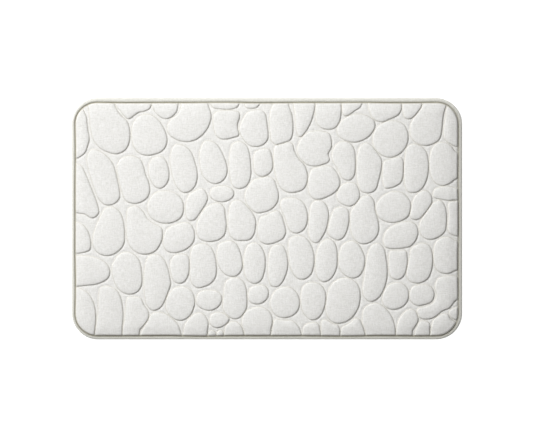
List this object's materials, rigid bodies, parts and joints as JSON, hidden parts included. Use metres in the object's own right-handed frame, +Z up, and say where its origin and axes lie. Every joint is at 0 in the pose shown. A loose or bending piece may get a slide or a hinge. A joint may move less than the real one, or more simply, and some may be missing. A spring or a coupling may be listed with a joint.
{
  "type": "bath mat",
  "caption": "Rounded rectangular memory-foam bath mat with a pebble-embossed plush face, a folded tape binding and a non-slip back.",
  "frame": {"origin": "centre of the mat on the floor plane it rests on", "axes": "+X along the long side, +Y along the short side towards the top of the picture, +Z up out of the plush face"},
  "size_m": [0.8, 0.495, 0.0152],
  "materials": {
    "plush": "short dense microfibre pile, off-white",
    "foam": "open-cell memory foam, cream",
    "backing_cloth": "fine knit, light grey",
    "grip": "moulded soft plastic, matt",
    "binding_tape": "knitted tape, warm light grey",
    "seam_thread": "spun polyester, light grey",
    "label": "plain woven satin, blank"
  },
  "bodies": {
    "root": {"plush_top": "plush", "foam_core": "foam", "backing_cloth": "backing_cloth", "grip_layer": "grip", "edge_binding": "binding_tape", "needle_thread": "seam_thread", "bobbin_thread": "seam_thread", "care_label": "label"}
  },
  "joints": []
}
